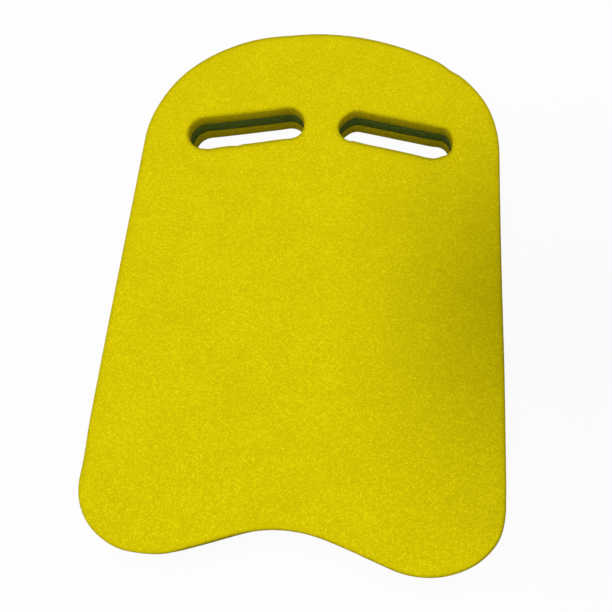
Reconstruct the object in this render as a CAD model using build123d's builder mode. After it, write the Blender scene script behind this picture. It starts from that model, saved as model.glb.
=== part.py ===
"""Kickboard float: three sheets of closed-cell foam, two bond films and two hand slots.

The board lies flat.  Its origin is on the resting face, in the middle of the outline,
with +X across the board, +Y towards the rounded nose and +Z up.  All sizes are in
millimetres.
"""

from build123d import *
import math
import os

# Overall size of the outline
length = 450.0
width = 305.0

# Laminate, counted up from the resting face
sheet_thickness = 11.0
film_thickness = 0.2

# Outline: a nose of two arcs, straight sides, and two tail lobes beside a shallow recess
nose_radius = 207.0
shoulder_radius = 107.0
tail_corner_radius = 46.0
tail_corner_turn = 60.0
tail_lobe_radius = 68.0
tail_flank_slope = 18.0
tail_recess_radius = 99.0

# Hand slots: one each side of the middle, outer ends leaning towards the tail
slot_width = 30.5
slot_centre_distance = 70.5
slot_slant = 10.7
slot_offset = 65.0
slot_below_nose = 104.0

# Rounding where the two outer sheets meet the air; the slots' rims are worn soft on top
outline_round = 2.0
top_rim_round = 2.5
resting_rim_round = 1.0

# Heights of the laminate's lower faces
bottom_sheet_z = 0.0
lower_film_z = bottom_sheet_z + sheet_thickness
core_sheet_z = lower_film_z + film_thickness
upper_film_z = core_sheet_z + sheet_thickness
top_sheet_z = upper_film_z + film_thickness


def draw_board_section():
    """Return the flat section that every layer shares: the outline less the two slots."""
    half_width = width / 2
    radius_step = nose_radius - shoulder_radius
    nose_turn = math.degrees(math.asin((half_width - shoulder_radius) / radius_step))
    corner_reach = math.sin(math.radians(tail_corner_turn))
    corner_drop = tail_corner_radius * corner_reach
    lobe_drop = tail_lobe_radius * (1 - corner_reach)
    side_end = (half_width, corner_drop + lobe_drop - length / 2)
    lobe_turn = 90 + tail_flank_slope - tail_corner_turn
    slope = math.radians(tail_flank_slope)

    with BuildSketch() as section:
        with BuildLine():
            # The +X half, clockwise from the nose apex to the middle of the tail recess
            nose = JernArc((0, length / 2), (1, 0), nose_radius, -nose_turn)
            shoulder = JernArc(nose @ 1, nose % 1, shoulder_radius, nose_turn - 90)
            side = Line(shoulder @ 1, side_end)
            corner = JernArc(side @ 1, side % 1, tail_corner_radius, -tail_corner_turn)
            lobe = JernArc(corner @ 1, corner % 1, tail_lobe_radius, -lobe_turn)
            # The flank is as long as lets the recess arc end level on the middle line
            flank_run = (lobe @ 1).X - tail_recess_radius * math.sin(slope)
            flank = PolarLine(lobe @ 1, flank_run / math.cos(slope), direction=lobe % 1)
            JernArc(flank @ 1, flank % 1, tail_recess_radius, tail_flank_slope)
            mirror(about=Plane.YZ)
        make_face()
        for hand in (-1, 1):
            with Locations((hand * slot_offset, length / 2 - slot_below_nose)):
                SlotCenterToCenter(
                    slot_centre_distance,
                    slot_width,
                    rotation=-hand * slot_slant,
                    mode=Mode.SUBTRACT,
                )
    return section.sketch


def round_free_face(builder, outward, rim_round):
    """Round the sheet's face that meets the air: the slot rims, then the outline."""
    face = builder.faces().sort_by(outward)[-1]
    fillet([edge for rim in face.inner_wires() for edge in rim.edges()], rim_round)
    face = builder.faces().sort_by(outward)[-1]
    fillet(face.outer_wire().edges(), outline_round)


board_section = draw_board_section()

# Bottom sheet, yellow: its lower face is the one that the board rests on
with BuildPart() as bottom_foam_layer:
    with BuildSketch(Plane.XY.offset(bottom_sheet_z)):
        add(board_section)
    extrude(amount=sheet_thickness)
    round_free_face(bottom_foam_layer, -Axis.Z, resting_rim_round)

# Bond film between the bottom sheet and the core
with BuildPart() as lower_bond_film:
    with BuildSketch(Plane.XY.offset(lower_film_z)):
        add(board_section)
    extrude(amount=film_thickness)

# Core sheet, green, square-edged because both its faces are bonded
with BuildPart() as core_foam_layer:
    with BuildSketch(Plane.XY.offset(core_sheet_z)):
        add(board_section)
    extrude(amount=sheet_thickness)

# Bond film between the core and the top sheet
with BuildPart() as upper_bond_film:
    with BuildSketch(Plane.XY.offset(upper_film_z)):
        add(board_section)
    extrude(amount=film_thickness)

# Top sheet, yellow
with BuildPart() as top_foam_layer:
    with BuildSketch(Plane.XY.offset(top_sheet_z)):
        add(board_section)
    extrude(amount=sheet_thickness)
    round_free_face(top_foam_layer, Axis.Z, top_rim_round)


os.makedirs("parts", exist_ok=True)

bottom_foam_layer.part.label = "bottom_foam_layer"
export_step(bottom_foam_layer.part, "parts/bottom_foam_layer.step")
lower_bond_film.part.label = "lower_bond_film"
export_step(lower_bond_film.part, "parts/lower_bond_film.step")
core_foam_layer.part.label = "core_foam_layer"
export_step(core_foam_layer.part, "parts/core_foam_layer.step")
upper_bond_film.part.label = "upper_bond_film"
export_step(upper_bond_film.part, "parts/upper_bond_film.step")
top_foam_layer.part.label = "top_foam_layer"
export_step(top_foam_layer.part, "parts/top_foam_layer.step")
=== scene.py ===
"""Kickboard float in Blender: three laminated foam sheets and their bond films, cut as one.

All lengths are in metres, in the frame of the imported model: +X across the board,
+Y towards the nose, +Z up from the resting face.
"""

import math
import random

import bpy
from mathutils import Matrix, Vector, noise
from mathutils.geometry import delaunay_2d_cdt
from mathutils.kdtree import KDTree


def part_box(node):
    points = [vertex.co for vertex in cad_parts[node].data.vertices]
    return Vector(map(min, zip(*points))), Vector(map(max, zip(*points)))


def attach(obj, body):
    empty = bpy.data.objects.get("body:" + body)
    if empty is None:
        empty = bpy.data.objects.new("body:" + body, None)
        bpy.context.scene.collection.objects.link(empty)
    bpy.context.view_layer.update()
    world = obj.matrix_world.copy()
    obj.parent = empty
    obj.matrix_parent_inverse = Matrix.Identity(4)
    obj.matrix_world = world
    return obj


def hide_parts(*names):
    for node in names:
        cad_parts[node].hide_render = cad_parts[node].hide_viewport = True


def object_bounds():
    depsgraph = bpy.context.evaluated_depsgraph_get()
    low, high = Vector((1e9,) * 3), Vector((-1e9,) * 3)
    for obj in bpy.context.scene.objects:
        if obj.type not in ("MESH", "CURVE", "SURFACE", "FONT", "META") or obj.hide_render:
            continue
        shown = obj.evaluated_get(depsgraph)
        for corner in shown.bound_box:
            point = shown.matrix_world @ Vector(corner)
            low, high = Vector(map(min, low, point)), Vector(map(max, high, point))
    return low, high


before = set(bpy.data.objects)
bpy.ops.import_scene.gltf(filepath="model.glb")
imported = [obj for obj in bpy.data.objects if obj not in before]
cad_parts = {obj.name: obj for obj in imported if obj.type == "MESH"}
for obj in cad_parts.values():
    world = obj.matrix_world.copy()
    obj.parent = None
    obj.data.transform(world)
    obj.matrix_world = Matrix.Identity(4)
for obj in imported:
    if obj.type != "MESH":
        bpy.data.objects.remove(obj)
cad_low, cad_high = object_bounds()

MM = 0.001

# The drawn outline: a nose of two arcs, straight sides, two tail lobes and a recess
NOSE_RADIUS = 207 * MM
SHOULDER_RADIUS = 107 * MM
CORNER_RADIUS = 46 * MM
CORNER_TURN = math.radians(60)
LOBE_RADIUS = 68 * MM
FLANK_SLOPE = math.radians(18)
RECESS_RADIUS = 99 * MM

# The hand slots
SLOT_RADIUS = 15.25 * MM
SLOT_STRAIGHT = 70.5 * MM
SLOT_SLANT = math.radians(10.7)
SLOT_OFFSET = 65 * MM
SLOT_BELOW_NOSE = 104 * MM

# The sheets' edges. A slot's upper rim is wider and deeper than its resting rim.
OUTLINE_ROUND = 2.0 * MM
TOP_RIM_ROUND = 2.8 * MM
TOP_RIM_DEPTH = 3.2 * MM
RESTING_RIM_ROUND = 1.0 * MM
SEAM_ROUND = 0.5 * MM
FILM_RECESS = 0.55 * MM
FILM_EDGE = 0.05 * MM
FILM_HIDDEN = 1.0 * MM

# Unevenness of the cut walls and of the free upper face. The scales are per metre.
WALL_CROWN = 0.35 * MM
WALL_RIPPLE = 0.06 * MM
RIPPLE_SCALE = 160
RIPPLE_UPRIGHT = 0.4
FACE_SWELL = 0.25 * MM
SWELL_SCALE = 14
SWELL_LAYER = 0.3
SWELL_BIAS = 0.3

# Painted shade where the skin turns over at the edges, least on edges that face the tail
CREASE_REACH = 1.5 * MM
CREASE_SHADE = 0.4
CREASE_FLOOR = 0.1
# Further darkening of the outline's rounding on the side away from the light
LEE_DIRECTION = (0.75, -0.66)
LEE_SHADE = 1.35

# Fineness of the meshes. The rings of the rims lie this far in from the rounding.
LOOP_STEP = 2.0 * MM
WALL_STEP = 1.6 * MM
CAP_STEP = 7.0 * MM
CAP_JITTER = 0.15 * CAP_STEP
CAP_MARGIN = 0.6 * CAP_STEP
MERGE_DISTANCE = 1e-7
ROUND_STEPS = 7
RIM_RINGS = (6 * MM, 3.5 * MM, 2 * MM, 1 * MM, 0.4 * MM)

# Where the cut strays from the drawn outline: (place, depth inwards, half length).
# A place is the distance round the outline, clockwise from the nose apex.
OUTLINE_STRAYS = [
    (70 * MM, 1.1 * MM, 50 * MM),
    (119 * MM, 1.3 * MM, 8 * MM),
    (167 * MM, -1.0 * MM, 25 * MM),
    (285 * MM, 0.25 * MM, 60 * MM),
    (410 * MM, -0.4 * MM, 50 * MM),
    (502 * MM, 0.35 * MM, 12 * MM),
    (522 * MM, -0.4 * MM, 9 * MM),
    (530 * MM, 0.4 * MM, 30 * MM),
    (636 * MM, 0.42 * MM, 18 * MM),
    (692 * MM, 0.38 * MM, 22 * MM),
    (718 * MM, 0.7 * MM, 18 * MM),
    (754 * MM, 0.42 * MM, 30 * MM),
    (783 * MM, 0.4 * MM, 10 * MM),
    (802 * MM, -0.5 * MM, 12 * MM),
    (872 * MM, 1.1 * MM, 21 * MM),
    (990 * MM, -0.3 * MM, 95 * MM),
    (1186 * MM, 0.6 * MM, 24 * MM),
    (1288 * MM, -2.0 * MM, 32 * MM),
    (1327 * MM, 0.4 * MM, 12 * MM),
]
# The same along each slot's rim, anticlockwise from the -X end of its tail side.
LEFT_SLOT_STRAYS = [
    (3 * MM, 0.6 * MM, 5 * MM),
    (26 * MM, 0.8 * MM, 3 * MM),
    (62 * MM, -0.5 * MM, 16 * MM),
    (80 * MM, 0.8 * MM, 7 * MM),
    (110 * MM, 0.7 * MM, 9 * MM),
    (194 * MM, 0.4 * MM, 14 * MM),
]
RIGHT_SLOT_STRAYS = [
    (2 * MM, -0.7 * MM, 8 * MM),
    (28 * MM, -0.45 * MM, 26 * MM),
    (64 * MM, 0.4 * MM, 6 * MM),
    (78 * MM, -1.4 * MM, 5 * MM),
    (112 * MM, 1.3 * MM, 7 * MM),
    (204 * MM, -1.6 * MM, 9 * MM),
]
# Where a slot's edges are turned over less: (place, share taken off, half length).
LEFT_SLOT_SHARP = [(94 * MM, 0.25, 20 * MM), (215 * MM, 0.35, 20 * MM)]
RIGHT_SLOT_SHARP = [(97 * MM, 0.5, 18 * MM), (213 * MM, 0.25, 20 * MM)]
# Where the cut leans, by its depth inwards at the upper face: (place, depth, half length).
RIGHT_SLOT_LEAN = [(99 * MM, -2.2 * MM, 17 * MM)]


# ---------------------------------------------------------------- lines round the section


def trace(start, heading, moves):
    """Walk joined moves, each (length, clockwise turn), and return the points passed."""
    points = []
    place = Vector(start)
    for length, turn in moves:
        steps = max(2, round(length / LOOP_STEP))
        bend = turn / steps
        chord = length / steps
        if bend:
            chord *= math.sin(bend / 2) / (bend / 2)
        for _ in range(steps):
            points.append(place.copy())
            direction = heading - bend / 2
            place += Vector((math.cos(direction), math.sin(direction))) * chord
            heading -= bend
    points.append(place)
    return points


def outline_points():
    """The drawn outline, clockwise from the nose apex."""
    half_width = (cad_high.x - cad_low.x) / 2
    nose_turn = math.asin((half_width - SHOULDER_RADIUS) / (NOSE_RADIUS - SHOULDER_RADIUS))
    shoulder_turn = math.pi / 2 - nose_turn
    lobe_turn = math.pi / 2 + FLANK_SLOPE - CORNER_TURN
    corner_reach = math.sin(CORNER_TURN)
    nose_drop = NOSE_RADIUS - (NOSE_RADIUS - SHOULDER_RADIUS) * math.cos(nose_turn)
    tail_drop = CORNER_RADIUS * corner_reach + LOBE_RADIUS * (1 - corner_reach)
    side = cad_high.y - cad_low.y - nose_drop - tail_drop
    corner_inset = CORNER_RADIUS * (1 - math.cos(CORNER_TURN))
    lobe_inset = LOBE_RADIUS * (math.cos(CORNER_TURN) + math.sin(FLANK_SLOPE))
    recess_half = RECESS_RADIUS * math.sin(FLANK_SLOPE)
    flank_run = half_width - corner_inset - lobe_inset - recess_half
    right = trace(
        (0, cad_high.y),
        0.0,
        [
            (NOSE_RADIUS * nose_turn, nose_turn),
            (SHOULDER_RADIUS * shoulder_turn, shoulder_turn),
            (side, 0.0),
            (CORNER_RADIUS * CORNER_TURN, CORNER_TURN),
            (LOBE_RADIUS * lobe_turn, lobe_turn),
            (flank_run / math.cos(FLANK_SLOPE), 0.0),
            (RECESS_RADIUS * FLANK_SLOPE, -FLANK_SLOPE),
        ],
    )
    left = [Vector((-p.x, p.y)) for p in reversed(right[1:-1])]
    return right + left


def slot_points(hand):
    """One hand slot's rim, anticlockwise; hand is 1 for the slot at +X and -1 at -X."""
    slant = -hand * SLOT_SLANT
    along = Vector((math.cos(slant), math.sin(slant)))
    across = Vector((-along.y, along.x))
    centre = Vector((hand * SLOT_OFFSET, cad_high.y - SLOT_BELOW_NOSE))
    start = centre - along * SLOT_STRAIGHT / 2 - across * SLOT_RADIUS
    half_turn = (SLOT_RADIUS * math.pi, -math.pi)
    straight = (SLOT_STRAIGHT, 0.0)
    return trace(start, slant, [straight, half_turn, straight, half_turn])[:-1]


def lee_shade(point, normal, cut, crease):
    """The extra darkness of the outline's rounding where it turns away from the light."""
    turned = max(0.0, normal.dot(Vector(LEE_DIRECTION).normalized())) ** 3
    share = min(1.0, max(0.0, point.x / cad_high.x))
    return LEE_SHADE * turned * share * math.sqrt(cut * crease)


def add_humps(humps, place):
    """The sum at one place of smooth humps, each (centre, size, half length)."""
    return sum(
        size * math.exp(-(((place - centre) / reach) ** 2)) for centre, size, reach in humps
    )


class Loop:
    """A closed line round the section, walked with the foam on its right-hand side."""

    def __init__(self, points, strays, sharp, lean, top_round, top_depth, resting_round):
        self.top_round = top_round
        self.top_depth = top_depth
        self.resting_round = resting_round
        self.normals = self.find_normals(points)
        place = 0.0
        self.points = []
        self.softness = []
        self.lean = []
        for i, point in enumerate(points):
            self.points.append(point - self.normals[i] * add_humps(strays, place))
            self.softness.append(1 - add_humps(sharp, place))
            self.lean.append(add_humps(lean, place))
            place += (points[(i + 1) % len(points)] - point).length
        self.normals = self.find_normals(self.points)

    @staticmethod
    def find_normals(points):
        """Unit normals that point out of the foam."""
        normals = []
        for i in range(len(points)):
            along = points[(i + 1) % len(points)] - points[i - 1]
            normals.append(Vector((-along.y, along.x)).normalized())
        return normals


SLOT_ROUNDS = (TOP_RIM_ROUND, TOP_RIM_DEPTH, RESTING_RIM_ROUND)
LOOPS = [
    Loop(outline_points(), OUTLINE_STRAYS, [], [], OUTLINE_ROUND, OUTLINE_ROUND, OUTLINE_ROUND),
    Loop(slot_points(1), RIGHT_SLOT_STRAYS, RIGHT_SLOT_SHARP, RIGHT_SLOT_LEAN, *SLOT_ROUNDS),
    Loop(slot_points(-1), LEFT_SLOT_STRAYS, LEFT_SLOT_SHARP, [], *SLOT_ROUNDS),
]


# ---------------------------------------------------------------- meshes


def wall_profile(low, high, round_low, round_high, depth_high):
    """The wall's section from the upper face to the lower: (inset, height, cut, crease).

    The upper edge is a quarter of an ellipse, round_high wide and depth_high deep. cut is
    0 on the moulded skin and 1 on the cut wall, and crease is 1 where the skin turns over."""
    profile = []
    for gap in RIM_RINGS:
        profile.append((round_high + gap, high, 0.0, math.exp(-gap / CREASE_REACH)))
    for step in range(ROUND_STEPS + 1):
        angle = math.pi / 2 * step / ROUND_STEPS
        inset = round_high * (1 - math.sin(angle))
        height = high - depth_high * (1 - math.cos(angle))
        profile.append((inset, height, math.sin(angle), abs(math.cos(angle))))
    top, bottom = high - depth_high, low + round_low
    steps = max(2, round((top - bottom) / WALL_STEP))
    for step in range(1, steps):
        share = step / steps
        crown = WALL_CROWN * 4 * share * (1 - share)
        profile.append((-crown, top - (top - bottom) * share, 1.0, 0.0))
    for step in range(ROUND_STEPS + 1):
        angle = math.pi / 2 * step / ROUND_STEPS
        inset = round_low * (1 - math.cos(angle))
        height = low + round_low * (1 - math.sin(angle))
        profile.append((inset, height, math.cos(angle), math.sin(angle)))
    for gap in reversed(RIM_RINGS):
        profile.append((round_low + gap, low, 0.0, math.exp(-gap / CREASE_REACH)))
    return profile


class Sheet:
    """Gathers one sheet's vertices and faces, wall by wall and face by face."""

    def __init__(self, low, high):
        self.low, self.high = low, high
        self.verts, self.faces = [], []
        self.cut, self.crease = [], []

    def add_vertex(self, x, y, z, cut, crease):
        self.verts.append(Vector((x, y, z)))
        self.cut.append(cut)
        self.crease.append(crease)
        return len(self.verts) - 1

    def add_wall(self, loop, profile):
        """Skin one loop with rings, and return its uppermost and lowest rings."""
        rings = []
        for inset, height, cut, crease in profile:
            ring = []
            rise = height / cad_high.z
            for i, (point, normal) in enumerate(zip(loop.points, loop.normals)):
                spot = Vector((point.x, point.y, height * RIPPLE_UPRIGHT)) * RIPPLE_SCALE
                ripple = WALL_RIPPLE * noise.noise(spot) * cut
                shift = inset * loop.softness[i] + loop.lean[i] * rise + ripple
                p = point - normal * shift
                # Painted shade on the turned-over edges, strongest where they face the nose; on
                # the outline, more painted shade on the side away from the light
                facing = ((1 + normal.y) / 2) ** 2
                painted_edge_shade = crease * (CREASE_FLOOR + (1 - CREASE_FLOOR) * facing)
                if loop is LOOPS[0]:
                    painted_edge_shade += lee_shade(point, normal, cut, crease)
                ring.append(self.add_vertex(p.x, p.y, height, cut, painted_edge_shade))
            rings.append(ring)
        for upper, lower in zip(rings, rings[1:]):
            for i in range(len(upper)):
                j = (i + 1) % len(upper)
                self.faces.append((upper[i], upper[j], lower[j], lower[i]))
        return rings[0], rings[-1]

    def add_cap(self, rims, upwards, filled):
        """Close a face between its rims with triangles, fine ones where it can be seen."""
        tree = KDTree(sum(len(rim) for rim in rims))
        normals = {}
        flat, owners, edges = [], [], []
        for loop, rim in zip(LOOPS, rims):
            first = len(flat)
            for i, vertex in enumerate(rim):
                edges.append((first + i, first + (i + 1) % len(rim)))
                tree.insert(self.verts[vertex], len(flat))
                normals[len(flat)] = loop.normals[i]
                flat.append(self.verts[vertex].xy)
                owners.append(vertex)
        tree.balance()
        height = self.verts[rims[0][0]].z

        def inside(x, y, margin):
            nearest, index, distance = tree.find(Vector((x, y, height)))
            across = Vector((x - nearest.x, y - nearest.y)).dot(normals[index])
            return across < 0 and distance > margin

        if filled:
            for x, y in face_grid():
                if inside(x, y, CAP_MARGIN):
                    flat.append(Vector((x, y)))
                    owners.append(self.add_vertex(x, y, height, 0.0, 0.0))
        result = delaunay_2d_cdt(flat, edges, [], 1, MERGE_DISTANCE)
        points, _, triangles, sources, _, _ = result
        for triangle in triangles:
            middle = sum((points[i] for i in triangle), Vector((0, 0))) / 3
            if inside(middle.x, middle.y, 0.0):
                face = [owners[sources[i][0]] for i in triangle]
                self.faces.append(face if upwards else face[::-1])

    def swell(self):
        """Let the free upper face rise and fall a little, as soft foam does."""
        for vertex in self.verts:
            share = max(0.0, (vertex.z - self.low) / (self.high - self.low))
            lift = noise.noise(Vector((vertex.x, vertex.y, SWELL_LAYER)) * SWELL_SCALE)
            vertex.z += FACE_SWELL * (lift - SWELL_BIAS) * share

    def make(self, name):
        mesh = bpy.data.meshes.new(name)
        mesh.from_pydata(self.verts, [], self.faces)
        for title, values in (("cut", self.cut), ("crease", self.crease)):
            mesh.attributes.new(title, "FLOAT", "POINT").data.foreach_set("value", values)
        mesh.polygons.foreach_set("use_smooth", [True] * len(mesh.polygons))
        mesh.update()
        piece = bpy.data.objects.new(name, mesh)
        bpy.context.scene.collection.objects.link(piece)
        return piece


def face_grid():
    """Points over the whole face in staggered rows, each moved a little at random."""
    chance = random.Random(7)
    row_gap = CAP_STEP * math.sqrt(3) / 2
    rows = int((cad_high.y - cad_low.y) / row_gap) + 1
    columns = int((cad_high.x - cad_low.x) / CAP_STEP) + 1
    for row in range(rows):
        for column in range(columns):
            x = cad_low.x + (column + row % 2 / 2) * CAP_STEP
            y = cad_low.y + row * row_gap
            yield (
                x + chance.uniform(-CAP_JITTER, CAP_JITTER),
                y + chance.uniform(-CAP_JITTER, CAP_JITTER),
            )


def build_foam(name, node, free_top=False, free_bottom=False):
    """One foam sheet in the place of its CAD node. A free face meets the air."""
    low, high = (corner.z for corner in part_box(node))
    sheet = Sheet(low, high)
    tops, bottoms = [], []
    for loop in LOOPS:
        round_high = loop.top_round if free_top else SEAM_ROUND
        depth_high = loop.top_depth if free_top else SEAM_ROUND
        round_low = loop.resting_round if free_bottom else SEAM_ROUND
        profile = wall_profile(low, high, round_low, round_high, depth_high)
        top, bottom = sheet.add_wall(loop, profile)
        tops.append(top)
        bottoms.append(bottom)
    sheet.add_cap(tops, upwards=True, filled=free_top)
    sheet.add_cap(bottoms, upwards=False, filled=free_bottom)
    if free_top:
        sheet.swell()
    piece = sheet.make(name)
    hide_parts(node)
    return piece


def build_film(name, node):
    """One bond film, set back a little in the groove between two foam sheets."""
    low, high = (corner.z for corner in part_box(node))
    middle = (low + high) / 2
    profile = [
        (FILM_RECESS + FILM_HIDDEN, high, 1.0, 0.0),
        (FILM_RECESS + FILM_EDGE, high, 1.0, 0.0),
        (FILM_RECESS, middle, 1.0, 0.0),
        (FILM_RECESS + FILM_EDGE, low, 1.0, 0.0),
        (FILM_RECESS + FILM_HIDDEN, low, 1.0, 0.0),
    ]
    sheet = Sheet(low, high)
    rims = [sheet.add_wall(loop, profile) for loop in LOOPS]
    sheet.add_cap([top for top, _ in rims], upwards=True, filled=False)
    sheet.add_cap([bottom for _, bottom in rims], upwards=False, filled=False)
    piece = sheet.make(name)
    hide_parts(node)
    return piece


# ---------------------------------------------------------------- materials

# Scales of the textures, per metre
SKIN_CELLS = 1180.0
CUT_PORES = 850.0
CELL_BENDS = 900.0
PATCHES = 30.0
FILM_STREAKS = 260.0

CELL_WANDER = 0.6 * MM
FOAM_BUMP_DEPTH = 0.1 * MM
FILM_BUMP_DEPTH = 0.05 * MM

# A cell whose random tone is above this starts to take a painted highlight, as if it glinted
GLINT_START = 0.94
PATCH_SHADE = 0.04
# A pore is lightest and highest this near to its edge, and darkest and lowest this far in
PORE_EDGE = 0.02
PORE_MIDDLE = 0.35
PORE_RELIEF = 2.0

BLACK = (0.0, 0.0, 0.0, 1.0)


class Shader:
    """Adds nodes to one new material and joins them."""

    def __init__(self, name):
        self.material = bpy.data.materials.new(name)
        self.material.use_nodes = True
        self.tree = self.material.node_tree
        self.surface = self.tree.nodes["Principled BSDF"]

    def add(self, kind, settings=(), **inputs):
        made = self.tree.nodes.new("ShaderNode" + kind)
        for key, value in dict(settings).items():
            setattr(made, key, value)
        for key, value in inputs.items():
            self.feed(made.inputs[key.replace("_", " ")], value)
        return made

    def feed(self, socket, value):
        if isinstance(value, bpy.types.NodeSocket):
            self.tree.links.new(value, socket)
        else:
            socket.default_value = value

    def blend_colours(self, factor, first, second):
        mix = self.add("Mix", {"data_type": "RGBA"})
        self.feed(mix.inputs["Factor"], factor)
        self.feed(mix.inputs["A"], first)
        self.feed(mix.inputs["B"], second)
        return mix.outputs["Result"]

    def ramp(self, value, low, high, out_low=0.0, out_high=1.0):
        """Map value from low..high to out_low..out_high, clamped."""
        made = self.add(
            "MapRange",
            **{
                "Value": value,
                "From_Min": low,
                "From_Max": high,
                "To_Min": out_low,
                "To_Max": out_high,
            },
        )
        return made.outputs["Result"]

    def sums(self, operation, first, second):
        made = self.add("Math", {"operation": operation})
        self.feed(made.inputs[0], first)
        self.feed(made.inputs[1], second)
        return made.outputs[0]


def make_foam_material(name, colours):
    """Closed-cell foam: fine moulded cells on the skin, larger open cells where it is cut.

    colours holds the skin's dark and light tones, its glint colour (a painted highlight on the
    brightest cells), the cut wall's dark and light tones (darker than the skin's, partly for
    the open pores and partly as painted shade), and the tint of the gloss. The mesh's cut value
    says how far each spot is cut wall, and its crease value how much painted shade darkens each
    spot where the skin turns over."""
    shade = Shader(name)
    where = shade.add("TexCoord").outputs["Object"]
    cut = shade.add("Attribute", {"attribute_name": "cut"}).outputs["Fac"]
    bends = shade.add("TexNoise", Vector=where, Scale=CELL_BENDS, Detail=2.0).outputs["Color"]
    wander = shade.add("VectorMath", {"operation": "SCALE"}, Vector=bends, Scale=CELL_WANDER)
    adder = shade.add("VectorMath", {"operation": "ADD"})
    shade.feed(adder.inputs[0], where)
    shade.feed(adder.inputs[1], wander.outputs["Vector"])
    bent = adder.outputs["Vector"]

    cells = shade.add("TexVoronoi", Vector=bent, Scale=SKIN_CELLS, Randomness=1.0)
    tone = shade.add("SeparateColor", Color=cells.outputs["Color"]).outputs["Red"]
    # Painted highlight: the brightest cells are lightened as if they glinted
    glint = shade.ramp(tone, GLINT_START, 1.0)
    patches = shade.add("TexNoise", Vector=where, Scale=PATCHES, Detail=3.0).outputs["Fac"]

    lightness = shade.sums("MULTIPLY", tone, tone)
    skin = shade.blend_colours(lightness, colours["skin_shadow"], colours["skin_light"])
    skin = shade.blend_colours(glint, skin, colours["glint"])
    pores = shade.add(
        "TexVoronoi",
        {"feature": "DISTANCE_TO_EDGE"},
        Vector=bent,
        Scale=CUT_PORES,
        Randomness=1.0,
    )
    ridge = shade.ramp(pores.outputs["Distance"], PORE_EDGE, PORE_MIDDLE, 1.0, 0.0)
    grain = shade.sums("MULTIPLY", shade.sums("ADD", ridge, tone), 0.5)
    # The cut wall's tones are darker than the skin's: partly the open pores' own colour, partly
    # painted shade
    wall = shade.blend_colours(grain, colours["cut_shadow"], colours["cut_light"])
    colour = shade.blend_colours(cut, skin, wall)
    # Darkens the colour towards black: random patches, plus painted shade on the turned-over
    # edges from the crease value
    crease = shade.add("Attribute", {"attribute_name": "crease"}).outputs["Fac"]
    shadow = shade.ramp(patches, 0.35, 0.65, PATCH_SHADE, 0.0)
    shadow = shade.sums("ADD", shadow, shade.sums("MULTIPLY", crease, CREASE_SHADE))
    colour = shade.blend_colours(shadow, colour, BLACK)
    shade.feed(shade.surface.inputs["Base Color"], colour)

    dome = shade.ramp(cells.outputs["Distance"], 0.0, 0.8, 1.0, 0.0)
    relief = shade.sums("MULTIPLY", shade.sums("MULTIPLY", ridge, PORE_RELIEF), cut)
    height = shade.sums("ADD", dome, relief)
    bump = shade.add("Bump", Strength=0.7, Distance=FOAM_BUMP_DEPTH, Height=height)
    shade.feed(shade.surface.inputs["Normal"], bump.outputs["Normal"])
    roughness = shade.ramp(tone, 0.0, 1.0, 0.72, 0.88)
    shade.feed(shade.surface.inputs["Roughness"], roughness)
    shade.surface.inputs["Specular IOR Level"].default_value = 0.1
    shade.surface.inputs["Specular Tint"].default_value = colours["gloss"]
    return shade.material


def make_film_material():
    """The fused bond line: darker, smoother and a little glossy."""
    shade = Shader("bond_film_glue")
    where = shade.add("TexCoord").outputs["Object"]
    streaks = shade.add("TexNoise", Vector=where, Scale=FILM_STREAKS, Detail=3.0).outputs["Fac"]
    colour = shade.blend_colours(streaks, (0.20, 0.22, 0.02, 1), (0.34, 0.34, 0.04, 1))
    shade.feed(shade.surface.inputs["Base Color"], colour)
    bump = shade.add("Bump", Strength=0.3, Distance=FILM_BUMP_DEPTH, Height=streaks)
    shade.feed(shade.surface.inputs["Normal"], bump.outputs["Normal"])
    shade.feed(shade.surface.inputs["Roughness"], shade.ramp(streaks, 0.3, 0.7, 0.45, 0.6))
    return shade.material


# Each foam's colours. The glint colour is a painted highlight on single cells. The cut wall's
# tones are darker than the skin's, partly for the open pores and partly as painted shade.
YELLOW = {
    "skin_shadow": (0.645, 0.540, 0.0012, 1),
    "skin_light": (0.850, 0.712, 0.0020, 1),
    "glint": (0.900, 0.770, 0.0050, 1),
    "cut_shadow": (0.370, 0.298, 0.0010, 1),
    "cut_light": (0.830, 0.680, 0.0024, 1),
    "gloss": (1.0, 0.85, 0.05, 1),
}
GREEN = {
    "skin_shadow": (0.110, 0.195, 0.024, 1),
    "skin_light": (0.130, 0.225, 0.030, 1),
    "glint": (0.200, 0.300, 0.060, 1),
    "cut_shadow": (0.020, 0.040, 0.004, 1),
    "cut_light": (0.210, 0.310, 0.040, 1),
    "gloss": (0.8, 1.0, 0.5, 1),
}


# ---------------------------------------------------------------- the board


def build_board():
    """All five layers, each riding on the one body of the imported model."""
    yellow = make_foam_material("yellow_foam_cells", YELLOW)
    green = make_foam_material("green_foam_cells", GREEN)
    glue = make_film_material()
    bottom = build_foam("bottom_foam_sheet", "bottom_foam_layer", free_bottom=True)
    core = build_foam("core_foam_sheet", "core_foam_layer")
    top = build_foam("top_foam_sheet", "top_foam_layer", free_top=True)
    lower_film = build_film("lower_bond_line", "lower_bond_film")
    upper_film = build_film("upper_bond_line", "upper_bond_film")
    finishes = [
        (bottom, yellow, "yellow_foam"),
        (core, green, "green_foam"),
        (top, yellow, "yellow_foam"),
        (lower_film, glue, "bond_film"),
        (upper_film, glue, "bond_film"),
    ]
    for piece, material, slot_name in finishes:
        piece.data.materials.append(material)
        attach(piece, "root")


# ---------------------------------------------------------------- studio

FLOOR_HALF = 4.0
FLOOR_DROP = 0.2 * MM
BOUNCE_DROP = 1.0 * MM
FLOOR_GLOW = 0.93
FLOOR_TONE = 0.06
BOUNCE_TONE = 0.3

# How bright the surround is as a light, and as the camera sees it
SURROUND_LIGHT = 0.37
SURROUND_SEEN = 0.97

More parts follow.
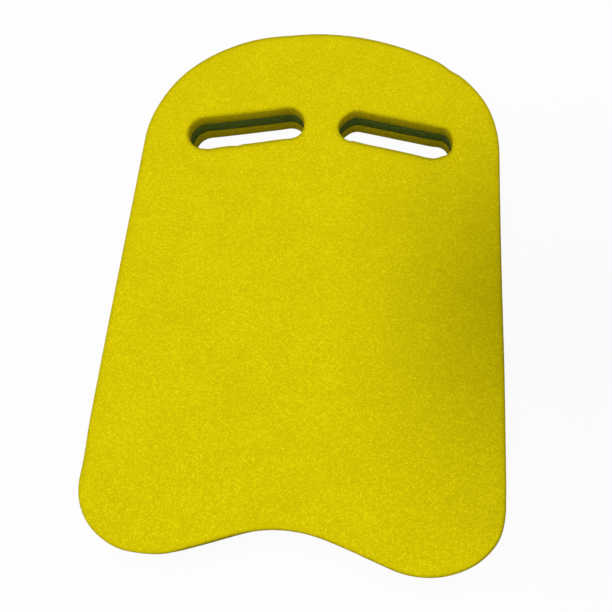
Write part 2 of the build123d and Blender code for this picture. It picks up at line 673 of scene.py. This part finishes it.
SOFTBOX_PLACE = (-0.1, 0, 1.6)
SOFTBOX_AIM = (0.35, -0.25, 0)
SOFTBOX_SIZE = 1.2
SOFTBOX_ENERGY = 17.8

FLAG_PLACE = (0.171, -0.019, 0)
FLAG_HEIGHT = 0.297
FLAG_HALF_X = 0.082
FLAG_HALF_Y = 0.099

CAMERA_PLACE = (0.0459, -0.1905, 0.5046)
CAMERA_TURN = (19.93, 2.18, 4.23)
CAMERA_LENS = 37.54
CAMERA_SHIFT = (-0.033, -0.0324)


def make_plain_material(name, colour, glow):
    shade = Shader(name)
    shade.surface.inputs["Base Color"].default_value = (colour, colour, colour, 1)
    shade.surface.inputs["Roughness"].default_value = 0.9
    shade.surface.inputs["Specular IOR Level"].default_value = 0.0
    shade.surface.inputs["Emission Color"].default_value = (1, 1, 1, 1)
    shade.surface.inputs["Emission Strength"].default_value = glow
    return shade.material


def make_plane(name, half_x, half_y, height, material):
    corners = [(-1, -1), (1, -1), (1, 1), (-1, 1)]
    mesh = bpy.data.meshes.new(name)
    mesh.from_pydata([(x * half_x, y * half_y, height) for x, y in corners], [], [(0, 1, 2, 3)])
    mesh.materials.append(material)
    plane = bpy.data.objects.new(name, mesh)
    bpy.context.scene.collection.objects.link(plane)
    return plane


def build_floor():
    """A pale floor that the camera sees, and a greyer one below it that the light sees."""
    white = make_plain_material("floor_white", FLOOR_TONE, FLOOR_GLOW)
    pale = make_plane("floor", FLOOR_HALF, FLOOR_HALF, -FLOOR_DROP, white)
    pale.visible_diffuse = False
    pale.visible_glossy = False
    pale.visible_shadow = False
    grey = make_plain_material("floor_grey", BOUNCE_TONE, 0.0)
    bounce = make_plane("floor_bounce", FLOOR_HALF, FLOOR_HALF, -BOUNCE_DROP, grey)
    bounce.visible_camera = False


def build_lights():
    """One large soft light over the board, and an even surround that is seen as white."""
    world = bpy.data.worlds.new("studio")
    bpy.context.scene.world = world
    world.use_nodes = True
    tree = world.node_tree
    background = tree.nodes["Background"]
    background.inputs["Color"].default_value = (1, 1, 1, 1)
    strength = tree.nodes.new("ShaderNodeMapRange")
    strength.inputs["To Min"].default_value = SURROUND_LIGHT
    strength.inputs["To Max"].default_value = SURROUND_SEEN
    path = tree.nodes.new("ShaderNodeLightPath")
    tree.links.new(path.outputs["Is Camera Ray"], strength.inputs["Value"])
    tree.links.new(strength.outputs["Result"], background.inputs["Strength"])
    light = bpy.data.lights.new("softbox", "AREA")
    light.shape = "DISK"
    light.size = SOFTBOX_SIZE
    light.energy = SOFTBOX_ENERGY
    softbox = bpy.data.objects.new("softbox", light)
    bpy.context.scene.collection.objects.link(softbox)
    softbox.location = SOFTBOX_PLACE
    aim = Vector(SOFTBOX_AIM) - softbox.location
    softbox.rotation_euler = aim.to_track_quat("-Z", "Y").to_euler()


def build_flag():
    """A small dark card over the board's right side that takes some of the light away."""
    black = make_plain_material("flag_black", 0.02, 0.0)
    card = make_plane("flag", FLAG_HALF_X, FLAG_HALF_Y, FLAG_HEIGHT, black)
    card.location = FLAG_PLACE
    card.visible_camera = False
    card.visible_glossy = False


def build_camera():
    """Nearly overhead, tilted towards the nose, with a small lens shift."""
    data = bpy.data.cameras.new("camera")
    data.sensor_width = 36
    data.lens = CAMERA_LENS
    data.shift_x, data.shift_y = CAMERA_SHIFT
    camera = bpy.data.objects.new("camera", data)
    bpy.context.scene.collection.objects.link(camera)
    camera.location = CAMERA_PLACE
    camera.rotation_euler = [math.radians(angle) for angle in CAMERA_TURN]
    bpy.context.scene.camera = camera


bpy.context.scene.view_settings.view_transform = "Standard"
build_camera()
build_board()
build_floor()
build_lights()
build_flag()
